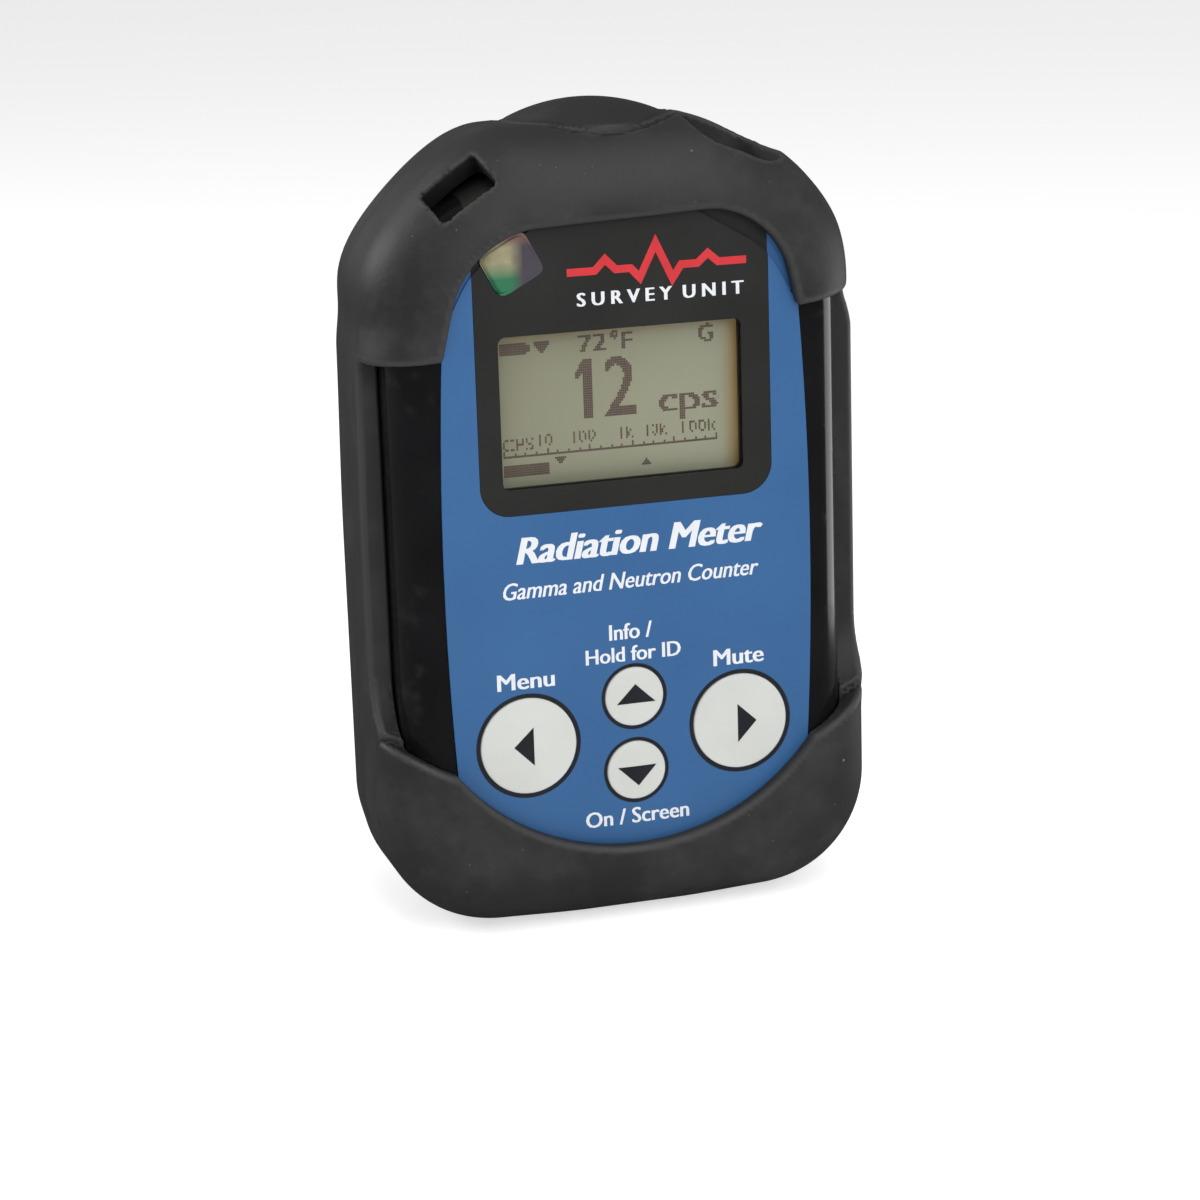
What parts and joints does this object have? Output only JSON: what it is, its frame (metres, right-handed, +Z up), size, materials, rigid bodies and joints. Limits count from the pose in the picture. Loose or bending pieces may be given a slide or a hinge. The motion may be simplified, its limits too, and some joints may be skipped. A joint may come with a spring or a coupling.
{
  "type": "pocket geiger counter",
  "caption": "Hand-held radiation meter: display and round keys in a slim case, held in a rubber boot with a hinged battery door.",
  "frame": {"origin": "on the ground under the middle of the boot, midway between front and back", "axes": "+X to the right as seen from the front, -Y towards the person reading the display, +Z up"},
  "size_m": [0.0676, 0.036, 0.1073],
  "materials": {
    "boot_rubber": "matte moulded elastomer",
    "case_black": "smooth semi-gloss moulded",
    "seal_rubber": "smooth",
    "steel": "machined",
    "overlay_blue": "satin printed film",
    "bezel_black": "satin printed film",
    "clear_lens": "clear acrylic",
    "lcd_glass": "liquid crystal panel",
    "white_plastic": "moulded",
    "key_white": "satin printed",
    "switch_black": "moulded",
    "board_green": "solder mask",
    "tinned_steel": "tinned",
    "cell_wrap": "printed wrap",
    "brass_insert": "knurled",
    "aluminium_tube": "turned",
    "crystal": "polished crystal",
    "tube_glass": "evacuated glass tube",
    "foam_grey": "closed-cell foam",
    "light_guide": "clear acrylic",
    "led_body": "epoxy",
    "sounder_brass": "stamped disc in a case",
    "tungsten": "sintered",
    "ir_plastic": "deep red, passes infrared"
  },
  "bodies": {
    "case": {"rubber_boot": "boot_rubber", "front_shell": "case_black", "rear_shell": "case_black", "case_gasket": "seal_rubber", "case_screws": "steel", "front_overlay": "overlay_blue", "display_bezel": "bezel_black", "display_lens": "clear_lens", "lcd_module": "lcd_glass", "backlight_panel": "white_plastic", "lcd_frame": "white_plastic", "key_switches": "switch_black", "keypad_board": "board_green", "board_connector": "switch_black", "main_board": "board_green", "shield_can": "tinned_steel", "board_chips": "switch_black", "battery_left": "cell_wrap", "battery_right": "cell_wrap", "battery_contacts": "tinned_steel", "battery_springs": "tinned_steel", "door_hinge_pin": "steel", "door_seal": "seal_rubber", "screw_insert": "brass_insert", "detector_tube": "aluminium_tube", "detector_cap": "aluminium_tube", "scintillator_crystal": "crystal", "photomultiplier": "tube_glass", "divider_board": "board_green", "detector_cushions": "foam_grey", "alarm_light_guide": "light_guide", "alarm_leds": "led_body", "led_board": "board_green", "led_riser": "switch_black", "sounder": "sounder_brass", "vibration_motor": "tinned_steel", "motor_cradle": "seal_rubber", "ir_window": "ir_plastic", "ir_transceiver": "switch_black"},
    "menu_key": {"menu_key": "key_white"},
    "mute_key": {"mute_key": "key_white"},
    "up_key": {"up_key": "key_white"},
    "down_key": {"down_key": "key_white"},
    "battery_door": {"battery_door": "case_black"},
    "door_screw": {"door_screw": "steel"},
    "motor_weight": {"motor_weight": "tungsten"}
  },
  "joints": [
    {"name": "menu_key_press", "type": "slide", "parent": "case", "child": "menu_key", "axis": [0, 1, 0], "range_m": [0, 0.0005], "stiffness_N_per_m": 3000},
    {"name": "mute_key_press", "type": "slide", "parent": "case", "child": "mute_key", "axis": [0, 1, 0], "range_m": [0, 0.0005], "stiffness_N_per_m": 3000},
    {"name": "up_key_press", "type": "slide", "parent": "case", "child": "up_key", "axis": [0, 1, 0], "range_m": [0, 0.0005], "stiffness_N_per_m": 3000},
    {"name": "down_key_press", "type": "slide", "parent": "case", "child": "down_key", "axis": [0, 1, 0], "range_m": [0, 0.0005], "stiffness_N_per_m": 3000},
    {"name": "battery_door_hinge", "type": "hinge", "parent": "case", "child": "battery_door", "pos_m": [0, 0.01425, 0.07095], "axis": [1, 0, 0], "range_deg": [0, 100]},
    {"name": "door_screw_turn", "type": "hinge", "parent": "battery_door", "child": "door_screw", "pos_m": [0, 0.0155, 0.0128], "axis": [0, 1, 0], "continuous": true},
    {"name": "vibrator_spin", "type": "hinge", "parent": "case", "child": "motor_weight", "pos_m": [0, 0.00495, 0.09345], "axis": [1, 0, 0], "continuous": true}
  ]
}
